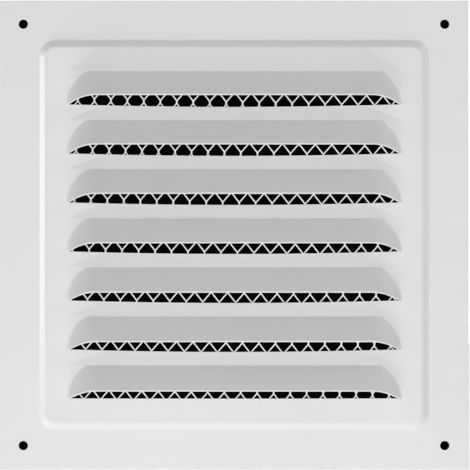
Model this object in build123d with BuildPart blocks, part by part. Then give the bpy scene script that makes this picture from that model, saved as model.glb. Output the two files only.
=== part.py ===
from build123d import *
import math
import os

# Square louvred vent grille: one pressed sheet with an expanded-metal mesh behind its louvres.
# X runs across the grille, Z is up as it hangs, and the front faces -Y.
# The wall plane is Y = 0, and the origin is the middle of the back of the plate.

# Plate, in millimetres
plate_side = 200.0
sheet = 0.8
edge_round = 0.3
screw_margin = 10.0
screw_hole = 4.0

# Raised panel: border is measured from the plate's edge to halfway up the step
border = 18.25
panel_raise = 2.4
panel_corner = 5.5
step_angle = 50.0
step_round = 1.0

# Louvres: each hood is bent out along its top, and its lip is the cut lower edge.
# The ends are rounded over the hood's whole height and a little more, the runout.
louvre_margin = 10.25
louvre_pitch = 20.9
louvre_length = 14.1
louvre_angle = 44.5
hood_runout = 2.5
hood_foot_round = 1.0
slot_bow = 1.1
last_slot_bow = 0.1

# The press draws each bend line out of the panel, and the strip above it slopes up to the bend
bend_rise = 0.9
rise_fade = 14.0

# Expanded-metal mesh, drawn as two layers of strands that cross where the metal is bonded
mesh_clearance = 2.5
strand_pitch = 7.02
row_pitch = 5.34
strand_width = 0.8
strand_thickness = 0.5
strand_gap = 0.05
mesh_turn = -1.9
mesh_shift_x = -1.44
mesh_shift_z = -2.56

# Sizes that follow from those above
slope = math.radians(louvre_angle)
step_run = panel_raise * math.tan(math.radians(step_angle))
step_wall = sheet / math.cos(math.radians(step_angle))
step_tangent = math.tan(math.radians(90 - step_angle) / 2)
outer_round = step_round + sheet
screw_spacing = plate_side - 2 * screw_margin
panel_side = plate_side - 2 * border
panel_front = sheet + panel_raise
step_foot = panel_side + step_run
foot_corner = panel_corner + step_run / 2
pocket_inset = step_wall - sheet * math.tan(math.radians(step_angle))
pocket_foot = step_foot - 2 * pocket_inset
panel_flat = panel_side - step_run - 2 * outer_round * step_tangent
pocket_flat = pocket_foot - 2 * step_run - 2 * step_round * step_tangent
louvre_width = panel_side - 2 * louvre_margin
slot_depth = louvre_length + slot_bow
hood_round = louvre_length * math.sin(slope) + bend_rise * math.cos(slope) + hood_runout
louvre_count = 1 + math.floor((louvre_width - slot_depth) / louvre_pitch)
first_bend = ((louvre_count - 1) * louvre_pitch + louvre_length) / 2
bend_lines = [first_bend - row * louvre_pitch for row in range(louvre_count)]
strand_lean = math.degrees(math.atan2(strand_pitch / 2, row_pitch))
strand_axis = (math.cos(math.radians(mesh_turn)), 0, math.sin(math.radians(mesh_turn)))
mesh_side = pocket_flat - 2 * mesh_clearance


def hood_wedge(inset):
    """The wedge under a hood's slope with its ends rounded over, drawn in all round by inset.

    The bend line lies on local X and the front of the panel on local Y = 0.
    """
    root = 2 * hood_round
    reach = slot_depth + sheet
    rise = bend_rise - inset / math.cos(slope)
    with BuildPart() as wedge:
        with BuildSketch(Plane.YZ):
            with BuildLine():
                Polyline(
                    (root, (root + rise) / math.tan(slope)),
                    (-rise - reach * math.tan(slope), -reach),
                    (root, -reach),
                    close=True,
                )
            make_face()
        extrude(amount=louvre_width / 2 - inset, both=True)
        ramp = wedge.faces().sort_by(lambda face: face.normal_at().Z)[-1]
        fillet(ramp.edges().filter_by(Axis.X, reverse=True), hood_round - inset)
    return wedge.part


def slot_cavity(bow):
    """What the slot and the hollow of one louvre take out, down to a foot that bows by bow."""
    half = louvre_width / 2
    deep = 3 * hood_round
    with BuildPart() as cavity:
        add(hood_wedge(sheet))
        with BuildSketch(Plane.XZ.offset(-deep)):
            with BuildLine():
                foot = ThreePointArc(
                    (-half, -louvre_length),
                    (0, -louvre_length - bow),
                    (half, -louvre_length),
                )
                Polyline(foot @ 1, (half, 2 * deep), (-half, 2 * deep), foot @ 0)
            make_face()
        extrude(amount=2 * deep, mode=Mode.INTERSECT)
    return cavity.part


def drawn_strip(length):
    """The strip of panel above a bend line, sloping out to it and fading at both ends."""
    half = louvre_width / 2
    with BuildPart() as strip:
        with BuildSketch(Plane.YZ):
            with BuildLine():
                Polyline(
                    (sheet / 2, length),
                    (0, length),
                    (-bend_rise, 0),
                    (sheet / 2, 0),
                    close=True,
                )
            make_face()
        extrude(amount=half, both=True)
        for side in (1, -1):
            slant = (side * bend_rise * length, -rise_fade * length, bend_rise * rise_fade)
            split(bisect_by=Plane((side * half, 0, 0), z_dir=slant), keep=Keep.BOTTOM)
    return strip.part


# Hood: the rounded wedge, cut off at the arc that the lip swings through about the bend line,
# on a patch of the panel that its ends run out into
with BuildPart() as hood:
    add(hood_wedge(0))
    with BuildSketch(Plane.YZ):
        with Locations((-bend_rise, 0)):
            Circle(louvre_length)
    extrude(amount=louvre_width, both=True, mode=Mode.INTERSECT)
    with BuildSketch(Plane.XZ.offset(-sheet / 2)):
        Rectangle(2 * louvre_width, 4 * louvre_length)
    extrude(amount=2 * louvre_length, mode=Mode.INTERSECT)
    with BuildSketch(Plane.XZ.offset(-sheet / 2)):
        with Locations((0, -louvre_length / 2)):
            Rectangle(louvre_width + 4 * hood_foot_round, louvre_length + 4 * hood_foot_round)
    extrude(amount=sheet / 2)
    patch = hood.faces().filter_by(Axis.Y).sort_by(SortBy.AREA)[-2:].sort_by(Axis.Y)[0]
    footprint = patch.inner_wires()[0].edges().sort_by(Axis.Z)
    fillet(footprint[1:], hood_foot_round)

cavity = slot_cavity(slot_bow)
last_cavity = slot_cavity(last_slot_bow)
strip = drawn_strip(louvre_pitch - slot_depth)
top_strip = drawn_strip(panel_flat / 2 - first_bend)

# Pocket: the hollow behind the raised panel
with BuildPart() as pocket:
    with BuildSketch(Plane.XZ):
        RectangleRounded(pocket_foot, pocket_foot, foot_corner - pocket_inset)
    extrude(amount=panel_raise, taper=step_angle)
    fillet(pocket.faces().sort_by(Axis.Y)[0].edges(), step_round)

with BuildPart() as face_plate:
    with BuildSketch(Plane.XZ):
        Rectangle(plate_side, plate_side)
    extrude(amount=sheet)
    fillet(face_plate.faces().sort_by(Axis.Y)[0].edges(), edge_round)

    # Panel pressed forward, with a bend at the brow and at the foot of its step
    with BuildSketch(Plane.XZ.offset(sheet)):
        RectangleRounded(step_foot, step_foot, foot_corner)
    extrude(amount=panel_raise, taper=step_angle)
    fillet(face_plate.faces().sort_by(Axis.Y)[0].edges(), outer_round)
    flange_front = face_plate.faces().filter_by(Axis.Y).sort_by(Axis.Y)[1]
    fillet(flange_front.inner_wires()[0].edges(), step_round)

    # The same step from behind, one sheet thickness inside
    add(pocket.part, mode=Mode.SUBTRACT)
    flange_back = face_plate.faces().sort_by(Axis.Y)[-1]
    fillet(flange_back.inner_wires()[0].edges(), outer_round)

    # Louvres: drawn strips and hoods in front, their hollows from behind
    with Locations(*[(0, -panel_front, height) for height in bend_lines]):
        add(hood.part)
    with Locations(*[(0, -panel_front, height) for height in bend_lines[1:]]):
        add(strip)
    with Locations((0, -panel_front, first_bend)):
        add(top_strip)
    with Locations(*[(0, -panel_raise, height) for height in bend_lines[1:]]):
        add(strip, mode=Mode.SUBTRACT)
    with Locations((0, -panel_raise, first_bend)):
        add(top_strip, mode=Mode.SUBTRACT)
    with Locations(*[(0, -panel_front, height) for height in bend_lines[:-1]]):
        add(cavity, mode=Mode.SUBTRACT)
    with Locations((0, -panel_front, bend_lines[-1])):
        add(last_cavity, mode=Mode.SUBTRACT)

    # Screw holes
    with BuildSketch(Plane.XZ):
        with GridLocations(screw_spacing, screw_spacing, 2, 2):
            Circle(screw_hole / 2)
    extrude(amount=sheet, mode=Mode.SUBTRACT)

with BuildPart() as insect_mesh:
    strand_reach = 3 * mesh_side
    side_strands = math.ceil(mesh_side / strand_pitch)
    columns = [mesh_shift_x + column * strand_pitch for column in range(-side_strands, side_strands + 1)]
    for layer, lean in enumerate((strand_lean, -strand_lean)):
        back = panel_raise - (layer + 1) * strand_thickness - layer * strand_gap
        with BuildSketch(Plane((0, -back, 0), x_dir=strand_axis, z_dir=(0, -1, 0))):
            with Locations(*[(column, mesh_shift_z) for column in columns]):
                Rectangle(strand_width, strand_reach, rotation=lean)
            Rectangle(mesh_side, mesh_side, rotation=-mesh_turn, mode=Mode.INTERSECT)
        extrude(amount=strand_thickness)

face_plate.part.label = "face_plate"
insect_mesh.part.label = "insect_mesh"

os.makedirs("parts", exist_ok=True)
export_step(face_plate.part, "parts/face_plate.step")
export_step(insect_mesh.part, "parts/insect_mesh.step")
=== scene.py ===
"""Square louvred vent grille: the painted plate, the expanded-metal mesh behind it, and the studio."""

import logging
import math
from dataclasses import dataclass
from enum import Enum

import bmesh
import bpy
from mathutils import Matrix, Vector


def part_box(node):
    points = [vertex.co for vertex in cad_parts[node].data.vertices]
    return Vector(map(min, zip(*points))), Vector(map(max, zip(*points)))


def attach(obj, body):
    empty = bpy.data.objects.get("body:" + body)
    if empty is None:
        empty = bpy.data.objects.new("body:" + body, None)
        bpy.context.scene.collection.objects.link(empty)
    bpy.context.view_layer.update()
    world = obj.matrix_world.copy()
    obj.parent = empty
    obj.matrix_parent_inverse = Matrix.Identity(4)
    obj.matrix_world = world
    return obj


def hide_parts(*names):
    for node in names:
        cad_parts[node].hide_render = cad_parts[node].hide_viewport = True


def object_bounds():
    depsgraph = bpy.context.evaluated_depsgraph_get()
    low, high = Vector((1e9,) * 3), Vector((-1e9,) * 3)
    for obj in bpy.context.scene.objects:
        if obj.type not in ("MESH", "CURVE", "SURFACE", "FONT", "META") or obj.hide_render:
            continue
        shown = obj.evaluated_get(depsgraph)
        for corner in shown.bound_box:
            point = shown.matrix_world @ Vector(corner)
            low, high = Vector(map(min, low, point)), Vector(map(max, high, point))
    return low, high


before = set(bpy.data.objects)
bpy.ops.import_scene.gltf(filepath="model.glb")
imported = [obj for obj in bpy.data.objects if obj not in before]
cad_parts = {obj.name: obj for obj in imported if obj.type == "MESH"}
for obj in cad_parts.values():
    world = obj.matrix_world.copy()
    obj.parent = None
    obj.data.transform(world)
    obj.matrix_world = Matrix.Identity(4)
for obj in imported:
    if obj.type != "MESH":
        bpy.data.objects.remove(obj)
cad_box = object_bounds()

MM = 0.001
# The mix node's colour sockets share their names with those of its other modes
MIX_FROM, MIX_TO, MIX_RESULT = 6, 7, 2
log = logging.getLogger("grille")


class Slot(Enum):
    """The record's material slots."""

    PLATE = "plate_paint"
    MESH = "mesh_paint"


class Corner(Enum):
    """The six corners of a bond, where two strands of the mesh join the two below."""

    TOP = 0
    RIGHT_UP = 1
    RIGHT_DOWN = 2
    FOOT = 3
    LEFT_DOWN = 4
    LEFT_UP = 5


def linear(code: str) -> tuple[float, float, float, float]:
    """Turn an sRGB hex colour into a linear one.

    Args:
        code: Six hex digits after a hash sign.

    Returns:
        Red, green, blue and an alpha of one.
    """
    parts = [int(code[i : i + 2], 16) / 255 for i in (1, 3, 5)]
    red, green, blue = (c / 12.92 if c <= 0.04045 else ((c + 0.055) / 1.055) ** 2.4 for c in parts)
    return red, green, blue, 1.0


WHITE = linear("#FFFFFF")


def add_node(
    tree: bpy.types.NodeTree, kind: str, inputs: dict[str | int, object] | None = None, **settings: object
) -> bpy.types.Node:
    """Add one node to a tree, with its settings, its constants and its links.

    Args:
        tree: The tree that takes the node.
        kind: The node's type.
        inputs: What each input takes: another node's output, or a constant.
        settings: The node's own properties.

    Returns:
        The new node.
    """
    node = tree.nodes.new(kind)
    for name, value in settings.items():
        setattr(node, name, value)
    for name, value in (inputs or {}).items():
        if isinstance(value, bpy.types.NodeSocket):
            tree.links.new(value, node.inputs[name])
        else:
            node.inputs[name].default_value = value
    return node


@dataclass(frozen=True)
class PowderCoat:
    """White polyester powder coat, sprayed dry on the pressed steel and baked.

    It flows out into a smooth semi-gloss skin with a faint orange peel, so the eye sees soft
    highlights on the bends, an almost even white, and here and there a speck of grit in the coat.
    """

    name: str
    light: str
    deep: str
    speck: str
    roughness: float
    cloud_mm: float
    peel_mm: float
    peel_depth_mm: float
    speck_spacing_mm: float
    speck_mm: float
    speck_share: float = 0.2
    speck_core: float = 0.6
    gloss_swing: float = 0.04
    ior: float = 1.5

    def material(self) -> bpy.types.Material:
        """Build the coat's material.

        Returns:
            The finished material.
        """
        coat = bpy.data.materials.new(self.name)
        coat.use_nodes = True
        tree = coat.node_tree
        tree.nodes.clear()
        place = add_node(tree, "ShaderNodeTexCoord").outputs["Object"]
        # Film thickness drifts slowly over the sheet and shifts the white a little
        cloud = add_node(
            tree,
            "ShaderNodeTexNoise",
            {"Vector": place, "Scale": 1 / (self.cloud_mm * MM), "Detail": 3.0, "Roughness": 0.55},
        )
        white = add_node(
            tree,
            "ShaderNodeMix",
            {"Factor": cloud.outputs["Fac"], MIX_FROM: linear(self.deep), MIX_TO: linear(self.light)},
            data_type="RGBA",
        )
        # Grit: a dot in the middle of a few of the cells, with no two cells alike
        cells = add_node(
            tree, "ShaderNodeTexVoronoi", {"Vector": place, "Scale": 1 / (self.speck_spacing_mm * MM)}
        )
        reach = self.speck_mm / self.speck_spacing_mm / 2
        dot = add_node(
            tree,
            "ShaderNodeMapRange",
            {
                "Value": cells.outputs["Distance"],
                "From Min": self.speck_core * reach,
                "From Max": reach,
                "To Min": 1.0,
                "To Max": 0.0,
            },
        )
        chosen = add_node(tree, "ShaderNodeSeparateColor", {"Color": cells.outputs["Color"]})
        rare = add_node(
            tree,
            "ShaderNodeMath",
            {0: chosen.outputs["Red"], 1: 1 - self.speck_share},
            operation="GREATER_THAN",
        )
        grit = add_node(
            tree,
            "ShaderNodeMath",
            {0: dot.outputs["Result"], 1: rare.outputs["Value"]},
            operation="MULTIPLY",
        )
        colour = add_node(
            tree,
            "ShaderNodeMix",
            {
                "Factor": grit.outputs["Value"],
                MIX_FROM: white.outputs[MIX_RESULT],
                MIX_TO: linear(self.speck),
            },
            data_type="RGBA",
        )
        gloss = add_node(
            tree,
            "ShaderNodeMapRange",
            {
                "Value": cloud.outputs["Fac"],
                "To Min": self.roughness - self.gloss_swing,
                "To Max": self.roughness + self.gloss_swing,
            },
        )
        peel = add_node(
            tree,
            "ShaderNodeTexNoise",
            {"Vector": place, "Scale": 1 / (self.peel_mm * MM), "Detail": 2.0},
        )
        bump = add_node(
            tree,
            "ShaderNodeBump",
            {"Height": peel.outputs["Fac"], "Strength": 1.0, "Distance": self.peel_depth_mm * MM},
        )
        shader = add_node(
            tree,
            "ShaderNodeBsdfPrincipled",
            {
                "Base Color": colour.outputs[MIX_RESULT],
                "Roughness": gloss.outputs["Result"],
                "IOR": self.ior,
                "Normal": bump.outputs["Normal"],
            },
        )
        add_node(tree, "ShaderNodeOutputMaterial", {"Surface": shader.outputs["BSDF"]})
        return coat


PLATE_COAT = PowderCoat(
    name="white_powder_coat_on_steel",
    light="#EAEAEA",
    deep="#E5E5E5",
    speck="#B2B1AF",
    roughness=0.30,
    cloud_mm=45.0,
    # Real orange peel is near 1 mm across; drawn at 1.6 mm so that it shows
    peel_mm=1.6,
    peel_depth_mm=0.004,
    speck_spacing_mm=11.0,
    speck_mm=0.7,
)
MESH_COAT = PowderCoat(
    name="white_powder_coat_on_expanded_steel",
    light="#F6F6F6",
    deep="#EFEFEF",
    speck="#C4C3C1",
    roughness=0.45,
    cloud_mm=30.0,
    peel_mm=0.8,
    peel_depth_mm=0.004,
    speck_spacing_mm=14.0,
    speck_mm=0.5,
)


@dataclass
class FacePlate:
    """The pressed sheet: border, raised panel and louvres, shown as the CAD solid."""

    node: str = "face_plate"
    coat: PowderCoat = PLATE_COAT

    def dress(self) -> None:
        """Give the plate its coat."""
        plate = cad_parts[self.node]
        coat = self.coat.material()
        for holder in plate.material_slots:
            holder.material = coat
        log.info("%s: %s on %d faces", self.node, coat.name, len(plate.data.polygons))


Ring = dict[Corner, bmesh.types.BMVert]
Bond = tuple[Ring, Ring]


@dataclass
class InsectMesh:
    """Expanded metal: a slit sheet pulled open, so bonds and strands are one piece and lean a little."""

    node: str = "insect_mesh"
    coat: PowderCoat = MESH_COAT
    pitch: float = 7.032 * MM
    row: float = 5.345 * MM
    bond_half_width: float = 0.36 * MM
    bond_half_side: float = 0.55 * MM
    crotch: float = 0.96 * MM
    sheet: float = 0.5 * MM
    # How far a bond comes forward for each millimetre up
    lean: float = 0.28
    # The sheet lies a little askew, and pulling it open left its columns off square
    row_turn: float = math.radians(-1.34)
    column_turn: float = math.radians(-2.03)
    # Where the bond that the rows are counted from lies, across and up from the grille's middle
    bond_place: tuple[float, float] = (5.15 * MM, -2.84 * MM)
    edge_round: float = 0.1 * MM
    rim_angle: float = math.radians(50)
    smooth_angle: float = math.radians(40)
    # Cells drawn past the CAD node's edge, and cut off again
    spare_cells: int = 3

    def corners(self) -> dict[Corner, tuple[float, float]]:
        """Give the places of a bond's corners from its middle.

        Returns:
            Across and up for each corner.
        """
        wide, side, high = self.bond_half_width, self.bond_half_side, self.crotch
        return {
            Corner.TOP: (0.0, high),
            Corner.RIGHT_UP: (wide, side),
            Corner.RIGHT_DOWN: (wide, -side),
            Corner.FOOT: (0.0, -high),
            Corner.LEFT_DOWN: (-wide, -side),
            Corner.LEFT_UP: (-wide, side),
        }

    def point(self, middle: float, across: float, up: float, out: float) -> Vector:
        """Place a point of the mesh in the grille's frame.

        Args:
            middle: Y of the mesh's middle plane.
            across: Distance along a row of bonds.
            up: Distance across the rows.
            out: Distance towards the front.

        Returns:
            The point in metres.
        """
        x = self.bond_place[0] + across * math.cos(self.row_turn) - up * math.sin(self.column_turn)
        z = self.bond_place[1] + across * math.sin(self.row_turn) + up * math.cos(self.column_turn)
        return Vector((x, middle - out, z))

    def lattice(self, low: Vector, high: Vector) -> bmesh.types.BMesh:
        """Draw the opened sheet, a little larger than the piece that is cut from it.

        Args:
            low: Lowest corner of the CAD node.
            high: Highest corner of the CAD node.

        Returns:
            A mesh of bonds and strands with both faces and all side walls.
        """
        opened = bmesh.new()
        middle = (low.y + high.y) / 2
        half = (high.x - low.x) / 2 + self.spare_cells * self.pitch
        rows = math.ceil(half / self.row)
        columns = math.ceil(half / self.pitch)
        bonds: dict[tuple[int, int], Bond] = {}
        for j in range(-rows, rows + 1):
            for i in range(-columns, columns + 1):
                front, back = {}, {}
                for corner, (dx, dz) in self.corners().items():
                    across = self.pitch * (i + 0.5 * (j % 2)) + dx
                    up = self.row * j + dz
                    out = self.lean * dz
                    front[corner] = opened.verts.new(self.point(middle, across, up, out + self.sheet / 2))
                    back[corner] = opened.verts.new(self.point(middle, across, up, out - self.sheet / 2))
                bonds[i, j] = front, back
        for (i, j), (front, back) in bonds.items():
            opened.faces.new([front[corner] for corner in Corner])
            opened.faces.new([back[corner] for corner in reversed(Corner)])
            for a, b in ((Corner.RIGHT_UP, Corner.RIGHT_DOWN), (Corner.LEFT_DOWN, Corner.LEFT_UP)):
                opened.faces.new((front[b], front[a], back[a], back[b]))
            left = i - 1 + j % 2
            upper = bonds.get((left + 1, j + 1))
            if upper:
                starts, ends = (Corner.TOP, Corner.RIGHT_UP), (Corner.LEFT_DOWN, Corner.FOOT)
                self.strand(opened, (front, back), starts, upper, ends)
            upper = bonds.get((left, j + 1))
            if upper:
                starts, ends = (Corner.LEFT_UP, Corner.TOP), (Corner.FOOT, Corner.RIGHT_DOWN)
                self.strand(opened, (front, back), starts, upper, ends)
        return opened

    @staticmethod
    def strand(
        opened: bmesh.types.BMesh,
        lower: Bond,
        starts: tuple[Corner, Corner],
        upper: Bond,
        ends: tuple[Corner, Corner],
    ) -> None:
        """Join two bonds with a strand.

        Args:
            opened: The mesh that takes the strand.
            lower: Front and back corners of the bond it leaves.
            starts: Its left and right corner there.
            upper: Front and back corners of the bond it reaches.
            ends: Its left and right corner there.
        """
        (front_a, back_a), (front_b, back_b) = lower, upper
        left, right = starts
        left_end, right_end = ends
        opened.faces.new((front_a[left], front_a[right], front_b[right_end], front_b[left_end]))
        opened.faces.new((back_a[right], back_a[left], back_b[left_end], back_b[right_end]))
        opened.faces.new((front_a[right], back_a[right], back_b[right_end], front_b[right_end]))
        opened.faces.new((back_a[left], front_a[left], front_b[left_end], back_b[left_end]))

    def cut(self, opened: bmesh.types.BMesh, low: Vector, high: Vector) -> None:
        """Shear the sheet to the square of the CAD node, close the cut ends and soften the edges.

        Args:
            opened: The mesh to cut.
            low: Lowest corner of the CAD node.
            high: Highest corner of the CAD node.
        """
        for corner, axis in ((low, (-1, 0, 0)), (high, (1, 0, 0)), (low, (0, 0, -1)), (high, (0, 0, 1))):
            everything = opened.verts[:] + opened.edges[:] + opened.faces[:]
            bmesh.ops.bisect_plane(opened, geom=everything, plane_co=corner, plane_no=axis, clear_outer=True)
        ends = [edge for edge in opened.edges if edge.is_boundary]
        bmesh.ops.holes_fill(opened, edges=ends, sides=0)
        bmesh.ops.recalc_face_normals(opened, faces=opened.faces[:])
        rims = [
            edge
            for edge in opened.edges
            if len(edge.link_faces) == 2 and edge.calc_face_angle(0.0) > self.rim_angle
        ]
        bmesh.ops.bevel(
            opened,
            geom=rims,
            offset=self.edge_round,
            segments=2,
            profile=0.5,
            affect="EDGES",
            clamp_overlap=True,
        )

    def build(self) -> None:
        """Make the mesh, dress it and put it in the CAD node's place."""
        low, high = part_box(self.node)
        opened = self.lattice(low, high)
        self.cut(opened, low, high)
        data = bpy.data.meshes.new("expanded_metal")
        opened.to_mesh(data)
        opened.free()
        data.shade_smooth()
        data.set_sharp_from_angle(angle=self.smooth_angle)
        data.materials.append(self.coat.material())
        piece = bpy.data.objects.new("expanded_metal", data)
        bpy.context.scene.collection.objects.link(piece)
        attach(piece, "root")
        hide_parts(self.node)
        log.info("%s: %d faces", piece.name, len(data.polygons))


@dataclass(frozen=True)
class Softbox:
    """A square soft lamp that faces the grille."""

    name: str
    place: tuple[float, float, float]
    side: float
    power: float

    def hang(self) -> None:
        """Put the lamp in the scene, aimed at the middle of the grille."""
        lamp = bpy.data.lights.new(self.name, "AREA")
        lamp.size = self.side
        lamp.energy = self.power
        holder = bpy.data.objects.new(self.name, lamp)
        holder.location = self.place
        holder.rotation_euler = (-Vector(self.place)).to_track_quat("-Z", "Y").to_euler()
        holder.visible_camera = False
        bpy.context.scene.collection.objects.link(holder)


@dataclass
class Studio:
    """Pale floor, soft light, a dark card of painted shade for the wall's opening, and the camera."""

    floor_side: float = 3.0
    floor_drop: float = 0.4 * MM
    floor_colour: str = "#F2F2F1"
    floor_glow: float = 0.96
    card_inset: float = 2.0 * MM
    card_gap: float = 0.05 * MM
    # Near black of the painted-shade card that the camera sees through the slots and holes
    painted_shade_colour: str = "#060606"
    ambient: float = 0.25
    camera_distance: float = 1.3
    sensor_mm: float = 36.0
    picture_width: float = 200.85 * MM
    camera_shift: tuple[float, float] = (0.43 * MM, -0.04 * MM)
    lamps: tuple[Softbox, ...] = (
        Softbox("front_soft", (0.2, -1.9, -0.05), 1.2, 8.0),
        Softbox("front_low", (0.1, -1.6, -0.8), 0.8, 6.6),
        Softbox("low_near", (-0.05, -0.35, -0.5), 0.3, 0.85),
        Softbox("low_graze", (-0.1, -0.25, -1.2), 0.5, 2.0),
        Softbox("low_corner", (-0.55, -0.14, -0.55), 0.06, 0.42),
        Softbox("left_graze", (-0.8, -0.14, 0.04), 0.25, 1.5),
        Softbox("right_high", (0.7, -0.3, 0.5), 0.4, 1.2),
        Softbox("back_fill", (-0.5, 1.2, 0.7), 0.6, 9.0),
    )

    @staticmethod
    def sheet(
        name: str, corners: list[tuple[float, float, float]], coat: bpy.types.Material
    ) -> bpy.types.Object:
        """Make a flat stage piece.

        Args:
            name: The piece's name.
            corners: Its four corners in order.
            coat: Its material.

        Returns:
            The new object.
        """
        data = bpy.data.meshes.new(name)
        data.from_pydata(corners, [], [(0, 1, 2, 3)])
        data.materials.append(coat)
        piece = bpy.data.objects.new(name, data)
        bpy.context.scene.collection.objects.link(piece)
        return piece

    def floor(self) -> None:
        """Lay matt pale studio paper under the grille. Lamps below it still light the grille.

        The camera sees most of its paleness as its own, so that a near lamp barely marks it.
        """
        paper = bpy.data.materials.new("matt_studio_paper")
        paper.use_nodes = True
        tree = paper.node_tree
        tree.nodes.clear()
        camera_ray = add_node(tree, "ShaderNodeLightPath").outputs["Is Camera Ray"]
        share = add_node(tree, "ShaderNodeMath", {0: camera_ray, 1: self.floor_glow}, operation="MULTIPLY")
        tint = linear(self.floor_colour)
        matt = add_node(tree, "ShaderNodeBsdfDiffuse", {"Color": tint, "Roughness": 1.0})
        pale = add_node(tree, "ShaderNodeEmission", {"Color": tint, "Strength": 1.0})
        mixed = add_node(
            tree,
            "ShaderNodeMixShader",
            {0: share.outputs["Value"], 1: matt.outputs["BSDF"], 2: pale.outputs["Emission"]},
        )
        add_node(tree, "ShaderNodeOutputMaterial", {"Surface": mixed.outputs["Shader"]})
        half, z = self.floor_side / 2, cad_box[0].z - self.floor_drop
        corners = [(-half, -half, z), (half, -half, z), (half, half, z), (-half, half, z)]
        piece = self.sheet("studio_floor", corners, paper)
        piece.visible_shadow = False
        piece.visible_diffuse = False

    def card(self) -> None:
        """Stand a dark card behind the flange, as painted shade for the dark opening behind the slots.

        The camera sees it from the front alone, so the grille's back stays open to view.
        """
        black = bpy.data.materials.new("painted_shade_behind_slots")
        black.use_nodes = True
        tree = black.node_tree
        tree.nodes.clear()
        camera_ray = add_node(tree, "ShaderNodeLightPath").outputs["Is Camera Ray"]
        behind = add_node(tree, "ShaderNodeNewGeometry").outputs["Backfacing"]
        shown = add_node(
            tree, "ShaderNodeMath", {0: camera_ray, 1: behind}, operation="SUBTRACT", use_clamp=True
        )
        clear = add_node(tree, "ShaderNodeBsdfTransparent")
        # Painted shade: a near-black glowing sheet, seen by camera rays alone, stands in for the shaded
        # opening behind the slots
        dark = add_node(tree, "ShaderNodeEmission", {"Color": linear(self.painted_shade_colour)})
        mixed = add_node(
            tree,
            "ShaderNodeMixShader",
            {0: shown.outputs["Value"], 1: clear.outputs["BSDF"], 2: dark.outputs["Emission"]},
        )
        add_node(tree, "ShaderNodeOutputMaterial", {"Surface": mixed.outputs["Shader"]})
        low, high = cad_box
        left, right = low.x + self.card_inset, high.x - self.card_inset
        foot, top = low.z + self.card_inset, high.z - self.card_inset
        y = high.y + self.card_gap
        corners = [(left, y, foot), (right, y, foot), (right, y, top), (left, y, top)]
        self.sheet("painted_shade_card", corners, black)

    def light(self) -> None:
        """Set the even light of a white studio and hang the lamps."""
        world = bpy.data.worlds.new("white_studio")
        world.use_nodes = True
        tree = world.node_tree
        tree.nodes.clear()
        # The camera and reflections see plain white, while matt surfaces get only the soft ambient light
        path = add_node(tree, "ShaderNodeLightPath")
        mirrored = add_node(
            tree,
            "ShaderNodeMath",
            {0: path.outputs["Is Camera Ray"], 1: path.outputs["Is Glossy Ray"]},
            operation="MAXIMUM",
        )
        seen = add_node(
            tree,
            "ShaderNodeMath",
            {0: mirrored.outputs["Value"], 1: path.outputs["Is Transmission Ray"]},
            operation="MAXIMUM",
        )
        soft = add_node(tree, "ShaderNodeBackground", {"Color": WHITE, "Strength": self.ambient})
        white = add_node(tree, "ShaderNodeBackground", {"Color": WHITE, "Strength": 1.0})
        mixed = add_node(
            tree,
            "ShaderNodeMixShader",
            {0: seen.outputs["Value"], 1: soft.outputs["Background"], 2: white.outputs["Background"]},
        )
        add_node(tree, "ShaderNodeOutputWorld", {"Surface": mixed.outputs["Shader"]})
        bpy.context.scene.world = world
        for lamp in self.lamps:
            lamp.hang()

    def camera(self) -> None:
        """Set the camera square to the front of the panel, where the photograph was taken from."""
        lens = bpy.data.cameras.new("front_camera")
        lens.sensor_width = self.sensor_mm
        lens.lens = lens.sensor_width * self.camera_distance / self.picture_width
        eye = bpy.data.objects.new("front_camera", lens)
        eye.location = (self.camera_shift[0], -self.camera_distance, self.camera_shift[1])
        eye.rotation_euler = (math.radians(90), 0, 0)
        bpy.context.scene.collection.objects.link(eye)
        bpy.context.scene.camera = eye

    def build(self) -> None:
        """Set up the whole studio."""
        self.floor()
        self.card()
        self.light()
        self.camera()
        bpy.context.scene.view_settings.view_transform = "Standard"
        log.info("studio: %d lamps", len(self.lamps))


def main() -> None:
    """Build the grille and the studio."""
    logging.basicConfig(level=logging.INFO, format="%(name)s: %(message)s")
    FacePlate().dress()
    InsectMesh().build()
    Studio().build()


if __name__ == "__main__":
    main()
